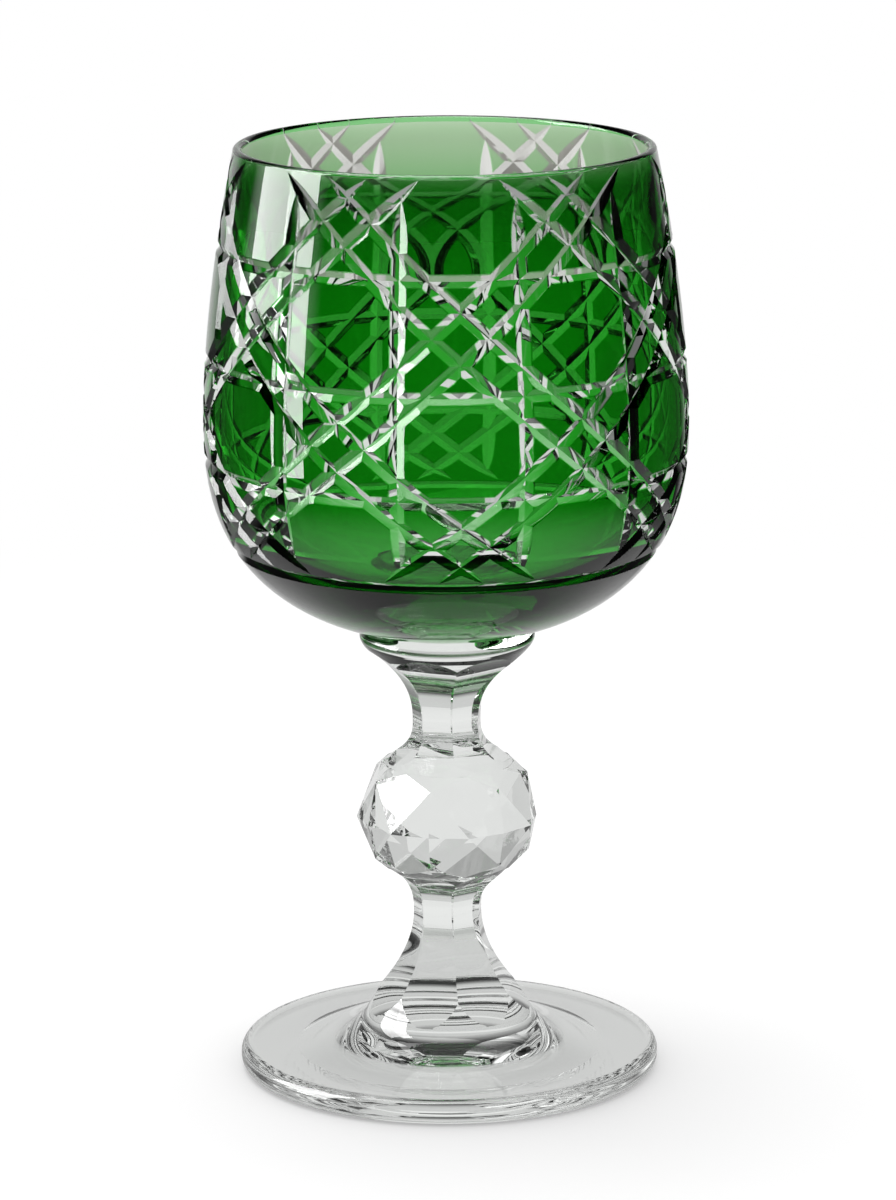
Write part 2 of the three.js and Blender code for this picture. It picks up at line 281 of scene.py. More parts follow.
crystalLook = {
    "colour": "#fdfffd",  # lead crystal is close to colourless
    "ior": 1.545,  # 24% lead crystal
    "waveSize": 16.0,  # mm between the soft waves that fire polishing leaves
    "waveHeight": 0.012,  # mm
    # painted veil: a matt white layer that stands in for the pale sheen of light on the back wall
    # inside the rim
    "paintedVeilColour": "#f6f4ec",
    "paintedVeilLevels": (126.0, 150.0),  # mm above the table: the painted veil, a painted sheen, grows from one to the other
    "paintedVeilShare": 0.5,
}
casingLook = {
    "density": 23500,  # per metre, for the colour that is absorbed most
    "passes": "#4ae44a",
    "ior": 1.545,
    "streakSize": 9.0,  # mm between streaks in the melt
    "streakHeight": 0.004,  # mm
}
waveNoise = {"Detail": 1.0, "Roughness": 0.4}  # smooth swells without finer ones on them


def wavyNormal(tree, size, height):  # soft waves over the surface, as a normal
    place = addNode(tree, "ShaderNodeTexCoord")
    noise = addNode(tree, "ShaderNodeTexNoise", {"Scale": metre / size, **waveNoise},
                    {"Vector": place.outputs["Object"]})
    bump = addNode(tree, "ShaderNodeBump", {"Strength": 1.0, "Distance": mm * height},
                   {"Height": noise.outputs["Fac"]})
    return bump.outputs["Normal"]


# Polished lead crystal: clear and colourless, with sharp bright edges where light bends hard.
# Its painted veil is a matt white layer inside the rim, a painted sheen of light that pales the back
# wall there.
def polishedCrystal(name, waves, paintedVeil=0.0):
    made, tree = newMaterial(name)
    glass = addNode(tree, "ShaderNodeBsdfPrincipled", {
        "Base Color": toLinear(crystalLook["colour"]), "Roughness": 0.0,
        "IOR": crystalLook["ior"], "Transmission Weight": 1.0})
    if waves:
        tree.links.new(wavyNormal(tree, crystalLook["waveSize"], crystalLook["waveHeight"] * waves),
                       glass.inputs["Normal"])
    surface = glass.outputs["BSDF"]
    # painted sheen: a matt white layer mixed in by height, which pales the inside of the rim
    if paintedVeil:
        paintedVeilLayer = addNode(tree, "ShaderNodeBsdfDiffuse", {
            "Color": toLinear(crystalLook["paintedVeilColour"])})
        place = addNode(tree, "ShaderNodeTexCoord")
        parts = addNode(tree, "ShaderNodeSeparateXYZ", {}, {"Vector": place.outputs["Object"]})
        low, high = (mm * level for level in crystalLook["paintedVeilLevels"])
        share = addNode(tree, "ShaderNodeMapRange", {
            "interpolation_type": "SMOOTHSTEP", "From Min": low, "From Max": high, "To Min": 0.0,
            "To Max": paintedVeil}, {"Value": parts.outputs["Z"]})
        surface = addNode(tree, "ShaderNodeMixShader", {}, {
            0: share.outputs["Result"], 1: surface, 2: paintedVeilLayer.outputs["BSDF"]}).outputs["Shader"]
    addNode(tree, "ShaderNodeOutputMaterial", {}, {"Surface": surface})
    return made


# Where two hot gathers of glass fused: one body of glass, so nothing shows there
def fusedGlassJoint():
    made, tree = newMaterial("fusedGlassJoint")
    clear = addNode(tree, "ShaderNodeBsdfTransparent", {"Color": (1, 1, 1, 1)})
    addNode(tree, "ShaderNodeOutputMaterial", {}, {"Surface": clear.outputs["BSDF"]})
    return made


# Green cased glass: deep where the layer is thick, pale where it thins towards the lip
def casedGreenGlass():
    made, tree = newMaterial("casedGreenGlassPolished")
    glass = addNode(tree, "ShaderNodeBsdfPrincipled", {
        "Base Color": (1, 1, 1, 1), "Roughness": 0.0,
        "IOR": casingLook["ior"], "Transmission Weight": 1.0},
        {"Normal": wavyNormal(tree, casingLook["streakSize"], casingLook["streakHeight"])})
    clear = addNode(tree, "ShaderNodeBsdfTransparent", {"Color": (1, 1, 1, 1)})
    fused = addNode(tree, "ShaderNodeAttribute", {"attribute_name": "fusedFace"})
    shown = addNode(tree, "ShaderNodeMixShader", {}, {
        0: fused.outputs["Fac"], 1: glass.outputs["BSDF"], 2: clear.outputs["BSDF"]})
    inside = addNode(tree, "ShaderNodeVolumeAbsorption", {
        "Color": toLinear(casingLook["passes"]), "Density": casingLook["density"]})
    addNode(tree, "ShaderNodeOutputMaterial", {}, {
        "Surface": shown.outputs["Shader"], "Volume": inside.outputs["Volume"]})
    return made


crystalCut = polishedCrystal("leadCrystalCutPolished", 0)
crystalBowl = polishedCrystal("leadCrystalBlown", 0.5)
crystalBowlCut = polishedCrystal("leadCrystalWheelCut", 0)
crystalInside = polishedCrystal("leadCrystalBlownInside", 0.5, paintedVeil=crystalLook["paintedVeilShare"])
crystalFoot = polishedCrystal("leadCrystalFirePolished", 1)
fusedJoint = fusedGlassJoint()
greenGlass = casedGreenGlass()
print("stage: materials made")


casingLow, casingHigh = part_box("green_casing")

bowlSizes = {  # mm
    "seat": casingLow[2] * metre,  # level of the joint with the collar
    "lip": casingHigh[2] * metre,
    "seatRadius": 13.0,
    "bellyRise": 33.6,
    "bellyRadius": 38.13,
    "rimRadius": 32.8,
    "baseSquareness": 2.6,  # powers of the curve from the seat to the belly
    "baseRoundness": 2.2,
    "rimTaper": 1.65,
    "lipThickness": 1.5,
    "wall": 2.9,
    "baseThickness": 7.0,
    "baseBlend": 34.0,  # height in which the base thins to the wall
    "rimBlend": 15.0,  # height in which the wall thins to the lip
    "segments": 192,
    "step": 0.9,  # height of one ring of faces
    "crowding": 1.15,  # draws the rings together near the seat, where the outline turns fast
    "slopeStep": 0.02,  # height over which the outline's slope is measured
    "lipSteps": 16,
}
casingSizes = {  # mm
    "thickness": 0.15,
    "atLip": 0.04,
    "thinDrop": 3.0,  # distance under the lip in which it thins
    "atSeat": 0.03,
    "thinRise": 12.5,  # height over the seat in which it thickens
    "fusedGap": 0.01,  # to the bowl, so that the two don't share a face
    "lipSteps": 5,
}

belly = bowlSizes["seat"] + bowlSizes["bellyRise"]
lipRadius = bowlSizes["lipThickness"] / 2


def outerRadius(level):
    b = bowlSizes
    if level >= belly:
        share = (level - belly) / (b["lip"] - belly)
        return b["bellyRadius"] - (b["bellyRadius"] - b["rimRadius"]) * share ** b["rimTaper"]
    seat = 1 - (b["seatRadius"] / b["bellyRadius"]) ** b["baseRoundness"]
    seatShare = seat ** (1 / b["baseSquareness"])
    share = seatShare * (belly - level) / b["bellyRise"]
    return b["bellyRadius"] * (1 - share ** b["baseSquareness"]) ** (1 / b["baseRoundness"])


def outerNormal(level):
    step = bowlSizes["slopeStep"]
    low = max(level - step / 2, bowlSizes["seat"])
    slope = (outerRadius(low + step) - outerRadius(low)) / step
    length = math.hypot(1, slope)
    return np.array([1 / length, -slope / length])


def wallThickness(level, top):
    rise = max(0.0, 1 - (level - bowlSizes["seat"]) / bowlSizes["baseBlend"])
    thin = min(1.0, max(0.0, 1 - (top - level) / bowlSizes["rimBlend"]))
    thin = thin * thin * (3 - 2 * thin)
    thick = bowlSizes["wall"] + (bowlSizes["baseThickness"] - bowlSizes["wall"]) * rise ** 2
    return thick - (bowlSizes["wall"] - bowlSizes["lipThickness"]) * thin


def casingThickness(level, top):
    c = casingSizes
    nearLip = max(0.0, 1 - (top - level) / c["thinDrop"])
    nearSeat = max(0.0, 1 - (level - bowlSizes["seat"]) / c["thinRise"])
    thinned = (c["thickness"] - c["atLip"]) * nearLip + (c["thickness"] - c["atSeat"]) * nearSeat
    return c["thickness"] - thinned


lipNormal = outerNormal(bowlSizes["lip"] - lipRadius)
lipLean = math.atan2(lipNormal[1], lipNormal[0])
wallTop = bowlSizes["lip"] - lipRadius * (1 - math.sin(lipLean))


def bowlLevels():
    count = int((wallTop - bowlSizes["seat"]) / bowlSizes["step"])
    shares = np.linspace(0, 1, count) ** bowlSizes["crowding"]
    return bowlSizes["seat"] + (wallTop - bowlSizes["seat"]) * shares


def insetOutline(thicknessAt):
    points = []
    for level in bowlLevels():
        inset = outerNormal(level) * thicknessAt(level, wallTop)
        points.append(np.array([outerRadius(level), level]) - inset)
    return np.array(points)


def lipArc(fromDepth, toDepth, steps):  # part of the lip's half round, by depth from its outside
    centre = np.array([outerRadius(wallTop), wallTop]) - outerNormal(wallTop) * lipRadius
    turns = [math.acos(1 - depth / lipRadius) + lipLean for depth in (fromDepth, toDepth)]
    turns = np.linspace(*turns, steps)
    return centre + lipRadius * np.stack([np.cos(turns), np.sin(turns)], axis=1)


def casingRuns():
    outside = insetOutline(lambda level, top: 0.0)
    inside = insetOutline(casingThickness)[::-1]
    lip = lipArc(0, casingSizes["atLip"], casingSizes["lipSteps"])
    return [
        smoothRun([(0, outside[0][1]), outside[0]], kind=fusedFace),
        smoothRun(np.concatenate([outside, lip[1:]])),
        smoothRun(inside, kind=fusedFace),
        smoothRun([inside[-1], (0, inside[-1][1])], kind=fusedFace),
    ]


def bowlRuns():
    gap = casingSizes["fusedGap"]
    outside = insetOutline(lambda level, top: casingThickness(level, top) + gap)
    inside = insetOutline(wallThickness)[::-1]
    lip = lipArc(casingSizes["atLip"] + gap, bowlSizes["lipThickness"], bowlSizes["lipSteps"])
    return [
        smoothRun([(0, outside[0][1]), outside[0]], kind=fusedFace),
        smoothRun(outside, kind=fusedFace),
        smoothRun(lip),
        smoothRun(inside, kind=insideFace),
        smoothRun([inside[-1], (0, inside[-1][1])], kind=insideFace),
    ]


patternSizes = {  # mm
    "columns": 12,
    "ringDrops": [15.5, 33.0, 49.0, 63.1],  # lip to each ring
    "crownRow": 16.0,  # height of the open row above the first ring
    "pairSpread": 0.46,  # distance between the two cuts of a pair, in rows
    "slantTipDrop": 0.7,  # lip to the upper tips
    "uprightTipDrop": 3.2,
    "slantFootRise": 1.0,  # last ring to the lower tips
    "uprightFootRise": 1.8,
    "depths": {"ring": 0.64, "upright": 0.69, "slant": 0.84},
    "angles": {"ring": 120.0, "upright": 126.0, "slant": 112.0},  # degrees between the two faces
    "wheelRadius": 40.0,
    "overlap": 0.5,  # cutter standing proud of the glass
    "step": 1.0,  # height between a cut's stations
    "topRow": -1.2,  # just above the lip, as rowAt counts
    "rowSamples": 500,
}

ringLevels = [bowlSizes["lip"] - drop for drop in patternSizes["ringDrops"]]
columnTurn = 2 * math.pi / patternSizes["columns"]
lastRing = len(ringLevels) - 1
rowCurve = np.polyfit([-1, *range(len(ringLevels))],
                      [ringLevels[0] + patternSizes["crownRow"], *ringLevels], 3)


def rowAt(level):  # 0 is the first ring, 1 the second, and so on downwards
    rows = np.linspace(patternSizes["topRow"], lastRing + 1, patternSizes["rowSamples"])
    return float(np.interp(-level, -np.polyval(rowCurve, rows), rows))


def surfaceAt(turn, level):
    radius, normal = outerRadius(level), outerNormal(level)
    outward = Vector((math.sin(turn), -math.cos(turn), 0))
    place = outward * radius
    place.z = level
    up = outward * normal[0]
    up.z = normal[1]
    return place, up


def spreadOf(kind):  # half of a cut's width for each millimetre of its depth
    return math.tan(math.radians(patternSizes["angles"][kind] / 2))


def wheelCut(path, kind, turns):  # V along a path of (turn, level), running out at both ends
    deepest = patternSizes["depths"][kind]
    frames = [surfaceAt(turn, level) for turn, level in path]
    along = [0.0]
    for (a, _), (b, _) in zip(frames[:-1], frames[1:]):
        along.append(along[-1] + (b - a).length)
    runOut = math.sqrt(2 * patternSizes["wheelRadius"] * deepest)
    spread = spreadOf(kind)
    points, faces = [], []
    for i, (place, normal) in enumerate(frames):
        after, before = frames[min(i + 1, len(frames) - 1)][0], frames[max(i - 1, 0)][0]
        side = (after - before).cross(normal).normalized()
        short = max(0.0, runOut - min(along[i], along[-1] - along[i]))
        depth = deepest - short * short / (2 * patternSizes["wheelRadius"])
        half = (depth + patternSizes["overlap"]) * spread
        top = place + normal * patternSizes["overlap"]
        points += [place - normal * depth, top + side * half, top - side * half]
        if i:
            for k in range(3):
                a, b = 3 * (i - 1) + k, 3 * (i - 1) + (k + 1) % 3
                faces += [(a, a + 3, b + 3), (a, b + 3, b)]
    end = 3 * (len(frames) - 1)
    faces += [(0, 1, 2), (end, end + 2, end + 1)]
    bottom, *tops = (np.array(points[k::3]) for k in range(3))
    line = np.gradient(bottom, axis=0)
    sides = {}
    for name, top, sense in (("right", tops[0], -1), ("left", tops[1], 1)):
        normal = np.cross(line, top - bottom) * sense
        sides[name] = normal / np.linalg.norm(normal, axis=1, keepdims=True)
    cut = {"bottom": bottom, "sides": sides, "turns": turns,
           "reach": (deepest + patternSizes["overlap"]) * math.hypot(1, spread)}
    return points, faces, cut


def cutPath(topLevel, footLevel, turnAt):
    count = int((topLevel - footLevel) / patternSizes["step"])
    return [(turnAt(rowAt(level)), level) for level in np.linspace(topLevel, footLevel, count)]


def ringRuns():  # the two faces of each ring cut, as parts of an outline
    depth = patternSizes["depths"]["ring"]
    half = depth * spreadOf("ring")
    runs = []
    for level in ringLevels:
        normal = outerNormal(level)
        edge = np.array([outerRadius(level), level])
        side = np.array([-normal[1], normal[0]])
        deepest = edge - normal * depth
        runs += [smoothRun([edge - side * half, deepest], kind=cutFace),
                 smoothRun([deepest, edge + side * half], kind=cutFace)]
    return runs


def ringCuts():
    depth = patternSizes["depths"]["ring"]
    half = (depth + patternSizes["overlap"]) * spreadOf("ring")
    outlines = []
    for level in ringLevels:
        normal = outerNormal(level)
        centre = np.array([outerRadius(level), level])
        side = np.array([-normal[1], normal[0]])
        top = centre + normal * patternSizes["overlap"]
        outlines.append([centre - normal * depth, top - side * half, top + side * half])
    return turnedPiece("ringCuts", outlines, bowlSizes["segments"])


def repeatTree():  # copies of one cut, evenly round the axis
    tree = bpy.data.node_groups.new("cutsRoundTheBowl", "GeometryNodeTree")
    face = tree.interface
    for name, kind in (("Cut", "Geometry"), ("Copies", "Int"), ("Step", "Float"),
                       ("Start", "Float"), ("Look", "Material")):
        face.new_socket(name, in_out="INPUT", socket_type="NodeSocket" + kind)
    face.new_socket("Cuts", in_out="OUTPUT", socket_type="NodeSocketGeometry")
    given = addNode(tree, "NodeGroupInput")
    spots = addNode(tree, "GeometryNodePoints", {}, {"Count": given.outputs["Copies"]})
    index = addNode(tree, "GeometryNodeInputIndex")
    turn = addNode(tree, "ShaderNodeMath", {"operation": "MULTIPLY_ADD"},
                   {0: index.outputs["Index"], 1: given.outputs["Step"], 2: given.outputs["Start"]})
    around = addNode(tree, "ShaderNodeCombineXYZ", {}, {"Z": turn.outputs["Value"]})
    copies = addNode(tree, "GeometryNodeInstanceOnPoints", {}, {
        "Points": spots.outputs["Points"], "Instance": given.outputs["Cut"],
        "Rotation": around.outputs["Vector"]})
    real = addNode(tree, "GeometryNodeRealizeInstances", {}, {
        "Geometry": copies.outputs["Instances"]})
    dressed = addNode(tree, "GeometryNodeSetMaterial", {}, {
        "Geometry": real.outputs["Geometry"], "Material": given.outputs["Look"]})
    addNode(tree, "NodeGroupOutput", {}, {"Cuts": dressed.outputs["Geometry"]})
    return tree


def repeated(piece, tree, copies, step, start):
    modifier = piece.modifiers.new("repeat", "NODES")
    modifier.node_group = tree
    inputs = {"Copies": copies, "Step": step, "Start": start, "Look": crystalCut}
    for item in tree.interface.items_tree:
        if item.item_type == "SOCKET" and item.in_out == "INPUT" and item.name in inputs:
            modifier[item.identifier] = inputs[item.name]
    return settled(piece)


def patternCuts():
    tree = repeatTree()
    lip, columns = bowlSizes["lip"], patternSizes["columns"]
    cutters, cuts = [ringCuts()], []

    def addCut(kind, path, copies, step, start):
        points, faces, cut = wheelCut(path, kind, [start + step * i for i in range(copies)])
        cutters.append(repeated(newPiece(kind + "Cuts", points, faces), tree, copies, step, start))
        cuts.append(cut)

    uprightFoot = ringLevels[-1] + patternSizes["uprightFootRise"]
    path = cutPath(lip - patternSizes["uprightTipDrop"], uprightFoot, lambda row: 0.0)
    addCut("upright", path, columns, columnTurn, columnTurn / 2)
    slantFoot = ringLevels[-1] + patternSizes["slantFootRise"]
    for lean in (-1, 1):
        for offset in (-0.5, 0.5):
            middle = 0.5 + offset * patternSizes["pairSpread"]
            path = cutPath(lip - patternSizes["slantTipDrop"], slantFoot,
                           lambda row: lean * (row - middle) * columnTurn)
            addCut("slant", path, columns // 2, 2 * columnTurn, 0.0)
    return cutters, cuts


def markFused(piece, kinds):
    attribute = piece.data.attributes.new("fusedFace", "FLOAT", "FACE")
    attribute.data.foreach_set("value", (kinds == fusedFace).astype(float))


def giveLooks(piece, looks, kinds):  # one look for each kind of face
    piece.data.materials.clear()
    for look in looks:
        piece.data.materials.append(look)
    piece.data.polygons.foreach_set("material_index", kinds.astype(int))


cutters, cuts = patternCuts()
print("stage: cutters made")

casingOutline = casingRuns()
greenCasing = turnedPiece("greenCasing", [wholeOutline(casingOutline)], bowlSizes["segments"])
change(greenCasing, cutters, "DIFFERENCE")
kinds = dress(greenCasing, [{"runs": casingOutline + ringRuns()}], cuts)
markFused(greenCasing, kinds)
giveLooks(greenCasing, [greenGlass], 0 * kinds)
print("stage: casing cut,", len(greenCasing.data.polygons), "faces")

bowlOutline = bowlRuns()
clearBowl = turnedPiece("clearBowl", [wholeOutline(bowlOutline)], bowlSizes["segments"])
change(clearBowl, cutters, "DIFFERENCE")
kinds = dress(clearBowl, [{"runs": bowlOutline + ringRuns()}], cuts)
giveLooks(clearBowl, [crystalBowl, fusedJoint, crystalBowlCut, crystalInside], kinds)
discard(cutters)
print("stage: bowl cut,", len(clearBowl.data.polygons), "faces")


stemLow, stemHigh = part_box("stem")

stemSizes = {  # mm
    "foot": stemLow[2] * metre,  # level of the joint with the foot
    "top": stemHigh[2] * metre,
    "lowerWaistRise": 16.5,  # above the joint with the foot
    "lowerNeck": 25.1,  # the joint to the ball's lower shoulder
    "ballHeight": 16.5,
    "upperWaistRise": 6.7,  # above the ball's upper shoulder
    "footRadius": 13.5,  # of the flare, at the joint with the foot
    "waistRadius": 5.6,
    "shoulderRadius": 10.3,
    "topRadius": 13.4,
    "blankAllowance": 0.7,  # round blank beyond the flats at a waist
    "blankPowers": {"foot": 1.4, "ball": 2.4, "top": 1.5},
    "flutes": 7,
    "fluteTurn": 4.0,  # degrees from the front to the nearest ridge
    "fluteRunOut": 0.3,  # how far the flats stand proud where they end
    "flutePowers": {"foot": 1.9, "ball": 3.0, "top": 2.45},
    "segments": 168,
    "step": 0.4,  # height of one ring of faces
    "leastSteps": 6,
    "endClearance": 1.0,  # how far the flutes' cutter passes the stem's ends
}
ballSizes = {  # mm
    "ledge": 0.3,  # shoulder beyond the neck
    "radius": 14.6,  # on the points of its middle
    "middleRadius": 14.1,  # between those points
    "middleRise": 7.5,  # lower shoulder to the points
    "cornerDrop": 1.9,  # shoulder to the side corners of the kites
    "turn": 9.5,  # degrees from the front to the nearest kite
    "flatWithin": 0.002,  # radians between faces that are one facet
}
ballBottom = stemSizes["foot"] + stemSizes["lowerNeck"]
ballTop = ballBottom + stemSizes["ballHeight"]
lowerWaist = stemSizes["foot"] + stemSizes["lowerWaistRise"]
upperWaist = ballTop + stemSizes["upperWaistRise"]
collarSizes = {"bulge": 13.9, "segments": 168, "steps": 24}
footSizes = {  # mm
    "radius": 33.5,
    "edgeThickness": 4.0,
    "edgeRounding": 1.8,
    "topEase": 4.4,  # height over which the top turns from the stem's slope to its own
    "topSlope": 0.62,  # outward for each millimetre down, where it leaves the stem
    "hollowRadius": 24.0,
    "hollowDepth": 2.4,
    "segments": 240,
    "hollowSteps": 16,
    "edgeSteps": 10,
    "topSteps": 40,
}


def bend(start, end, power, step):  # from a waist towards a wide end, as a power curve
    steps = max(stemSizes["leastSteps"], int(abs(end[1] - start[1]) / step))
    shares = np.linspace(0, 1, steps)
    return np.stack([start[0] + (end[0] - start[0]) * shares ** power,
                     start[1] + (end[1] - start[1]) * shares], axis=1)


def neckCurves(footEnd, waist, ballEnd, topEnd, powers):
    s = stemSizes
    lower = np.concatenate([
        bend((waist, lowerWaist), (footEnd, s["foot"]), powers["foot"], s["step"])[::-1],
        bend((waist, lowerWaist), (ballEnd, ballBottom), powers["ball"], s["step"])[1:]])
    upper = np.concatenate([
        bend((waist, upperWaist), (ballEnd, ballTop), powers["ball"], s["step"])[::-1],
        bend((waist, upperWaist), (topEnd, s["top"]), powers["top"], s["step"])[1:]])
    return lower, upper


def fluteMouth(radius):
    return (radius + stemSizes["fluteRunOut"]) / math.cos(math.pi / stemSizes["flutes"])


def ballPiece():  # kite facets above and below a pointed middle
    s, b = stemSizes, ballSizes
    half = math.pi / s["flutes"]
    shoulder = s["shoulderRadius"] + b["ledge"]
    middle = ballBottom + b["middleRise"]
    points = []
    for i in range(s["flutes"]):
        ridge = math.radians(b["turn"]) + 2 * half * i
        spots = [(ridge, b["radius"], middle), (ridge + half, b["middleRadius"], middle)]
        for level in (ballTop, ballBottom):
            drop = math.copysign(b["cornerDrop"], middle - level)
            slope = (b["radius"] - shoulder) / (middle - level)
            corner = (shoulder + drop * slope) / math.cos(half)  # keeps the kites flat
            spots += [(ridge, shoulder, level), (ridge + half, shoulder, level),
                      (ridge + half, corner, level + drop)]
        points += [(r * math.sin(t), -r * math.cos(t), z) for t, r, z in spots]
    ball = newPiece("ball", points, [])
    shape = bmesh.new()
    shape.from_mesh(ball.data)
    bmesh.ops.convex_hull(shape, input=shape.verts)
    bmesh.ops.dissolve_limit(shape, angle_limit=b["flatWithin"],
                             verts=shape.verts, edges=shape.edges)
    bmesh.ops.triangulate(shape, faces=shape.faces)
    bmesh.ops.recalc_face_normals(shape, faces=shape.faces)
    shape.to_mesh(ball.data)
    shape.free()
    return ball


def stemPiece():
    s = stemSizes
    waist = s["waistRadius"] + s["blankAllowance"]
    low, high = neckCurves(s["footRadius"], waist, s["shoulderRadius"], s["topRadius"],
                           s["blankPowers"])
    blankRuns = [
        smoothRun([(0, s["foot"]), low[0]], kind=fusedFace), smoothRun(low),
        smoothRun(high), smoothRun([high[-1], (0, s["top"])], kind=fusedFace)]
    stem = turnedPiece("cutStem", [wholeOutline(blankRuns)], s["segments"])
    footMouth, ballMouth, topMouth = (fluteMouth(s[place + "Radius"])
                                      for place in ("foot", "shoulder", "top"))
    flatLow, flatHigh = neckCurves(footMouth, s["waistRadius"], ballMouth, topMouth,
                                   s["flutePowers"])
    below, above = s["foot"] - s["endClearance"], s["top"] + s["endClearance"]
    flatOutline = np.concatenate([[(0, below), (footMouth, below)], flatLow,
                                  flatHigh, [(topMouth, above), (0, above)]])
    flats = turnedPiece("flutes", [flatOutline], s["flutes"])
    flats.data.transform(Matrix.Rotation(math.radians(s["fluteTurn"]), 4, "Z"))
    ball = ballPiece()
    change(stem, [flats], "INTERSECT")
    change(stem, [ball], "UNION")
    discard([flats, ball])
    apothem = np.array([math.cos(math.pi / s["flutes"]), 1])
    families = [
        {"runs": [smoothRun(flatLow * apothem), smoothRun(flatHigh * apothem)],
         "flutes": s["flutes"], "firstRidge": s["fluteTurn"]},
        {"runs": blankRuns}]
    giveLooks(stem, [crystalCut, fusedJoint, crystalCut], dress(stem, families))
    return stem


def collarPiece():
    c, s = collarSizes, stemSizes
    turns = np.linspace(0, math.pi, c["steps"])
    share = np.linspace(0, 1, c["steps"])
    radius = s["topRadius"] + (bowlSizes["seatRadius"] - s["topRadius"]) * share
    side = np.stack([radius + (c["bulge"] - radius.mean()) * np.sin(turns),
                     s["top"] + (bowlSizes["seat"] - s["top"]) * share], axis=1)
    runs = [smoothRun([(0, s["top"]), side[0]], kind=fusedFace), smoothRun(side),
            smoothRun([side[-1], (0, bowlSizes["seat"])], kind=fusedFace)]
    collar = turnedPiece("collarDisc", [wholeOutline(runs)], c["segments"])
    giveLooks(collar, [crystalBowl, fusedJoint, crystalBowl], dress(collar, [{"runs": runs}]))
    return collar


def footPiece():
    f = footSizes
    rest = f["radius"] - f["edgeRounding"]
    share = np.linspace(0, 1, f["hollowSteps"])
    hollow = np.stack([f["hollowRadius"] * share, f["hollowDepth"] * (1 - share ** 2)], axis=1)

    def edgeArc(fromTurn, toTurn, level):
        turns = np.linspace(fromTurn, toTurn, f["edgeSteps"])
        return np.stack([rest + f["edgeRounding"] * np.cos(turns),
                         level + f["edgeRounding"] * np.sin(turns)], axis=1)

    lower = edgeArc(-math.pi / 2, 0, f["edgeRounding"])
    upper = edgeArc(0, math.pi / 2, f["edgeThickness"] - f["edgeRounding"])
    start = np.array([rest, f["edgeThickness"]])
    end = np.array([stemSizes["footRadius"], stemSizes["foot"]])
    pull = end + f["topEase"] * np.array([f["topSlope"], -1])
    t = np.linspace(0, 1, f["topSteps"])[1:, None]
    top = (1 - t) ** 2 * start + 2 * t * (1 - t) * pull + t ** 2 * end
    runs = [smoothRun(hollow), smoothRun([hollow[-1], (rest, 0)]),
            smoothRun(np.concatenate([lower, upper, top])),
            smoothRun([end, (0, stemSizes["foot"])], kind=fusedFace)]
    foot = turnedPiece("footDisc", [wholeOutline(runs)], f["segments"])
    giveLooks(foot, [crystalFoot, fusedJoint, crystalFoot], dress(foot, [{"runs": runs}]))
    return foot


cutStem = stemPiece()
collarDisc = collarPiece()
footDisc = footPiece()
print("stage: stem, collar and foot made,", len(cutStem.data.polygons), "faces on the stem")

for piece, node in ((greenCasing, "green_casing"), (clearBowl, "bowl"), (collarDisc, "collar"),
                    (cutStem, "stem"), (footDisc, "foot")):
    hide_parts(node)
    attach(piece, "root")


studio = {
    "floorSize": 9.0,  # m
    "floorDrop": 0.00005,  # m under the foot, so that the two don't share a plane
    "ownLight": 0.4,  # share of the white floor that a shadow doesn't darken, near the glass
    "ownLightFrom": (0.12, 0.4),  # m from the glass between which that share rises to all of it
    "throughGlass": 0.85,  # that share as seen through the glass
    "tableColour": "#fafafa",
    "worldOnFloor": 0.88,  # brightness of the room, as matt surfaces see it
    "sweep": 0.77,  # brightness of the white sweep that the glass stands on
    "sweepWall": 0.62,  # the same, where it rises behind
    "sweepTop": (0.25, 0.6),  # heights of direction between which the sweep ends
    "roomDark": 0.04,  # unlit room above and behind the camera
    "ceiling": 0.4,  # brightness of the ceiling light
    "ceilingFrom": (0.88, 0.96),  # heights of direction between which the ceiling light begins
    "glow": 1.36,  # light on the wall at the left, as the glass refracts it
    "glowAlong": (-0.9936, 0.1132, 0.0),
    "glowFrom": (0.86, 0.95),  # cosines from that direction between which it fades
    "sweepSide": (0.35, 0.75),  # sideways limits of the sweep, as cosines from straight behind
    "sweepMirrored": (0.76, 0.92),  # the same, as the glass mirrors it
    "tableEdge": (0.1, 0.28),  # m from the glass between which the lit table ends
    "underGlass": (0.02, 0.1, 0.55),  # m between which the glass shades the table, and its share
}
# Lengths in metres. onMatt: it lights matt surfaces. mirrored: the glass mirrors it.
# The side boxes show only as reflections, and the rim box lights only the painted veil, a painted
# sheen inside the rim.
softboxes = {
    "nearSideBox": {"place": (-0.4145, -0.0677, 0.3), "aim": (0, 0, 0.3), "size": (0.141, 0.6),
                    "watts": 3.0, "onMatt": False, "mirrored": True},
    "farSideBox": {"place": (-0.5889, 0.1270, 0.41), "aim": (0, 0, 0.41), "size": (0.246, 0.63),
                   "watts": 3.9, "onMatt": False, "mirrored": True},
    "topBox": {"place": (-0.1, 0.15, 0.9), "aim": (0, 0, 0.09), "size": (0.6, 0.6),
               "watts": 3.6, "onMatt": True, "mirrored": True},
    "rimBox": {"place": (-0.08, -0.62, 0.62), "aim": (0, 0, 0.09), "size": (0.3, 0.3),
               "watts": 3.7, "onMatt": True, "mirrored": False},
}
cameraSizes = {  # m, degrees and mm of lens
    "distance": 0.8122,
    "height": 0.2673,
    "shift": 0.0008,
    "azimuth": -3.5,
    "pitch": 13.235,
    "roll": -0.3,
    "lens": 158.2,
    "sensor": 36.0,
    "clip": (0.05, 50.0),
}
lightSteps = {  # light crosses many faces of cut glass before it reaches the camera
    "max_bounces": 48,
    "transmission_bounces": 48,
    "glossy_bounces": 24,
    "transparent_max_bounces": 64,
}


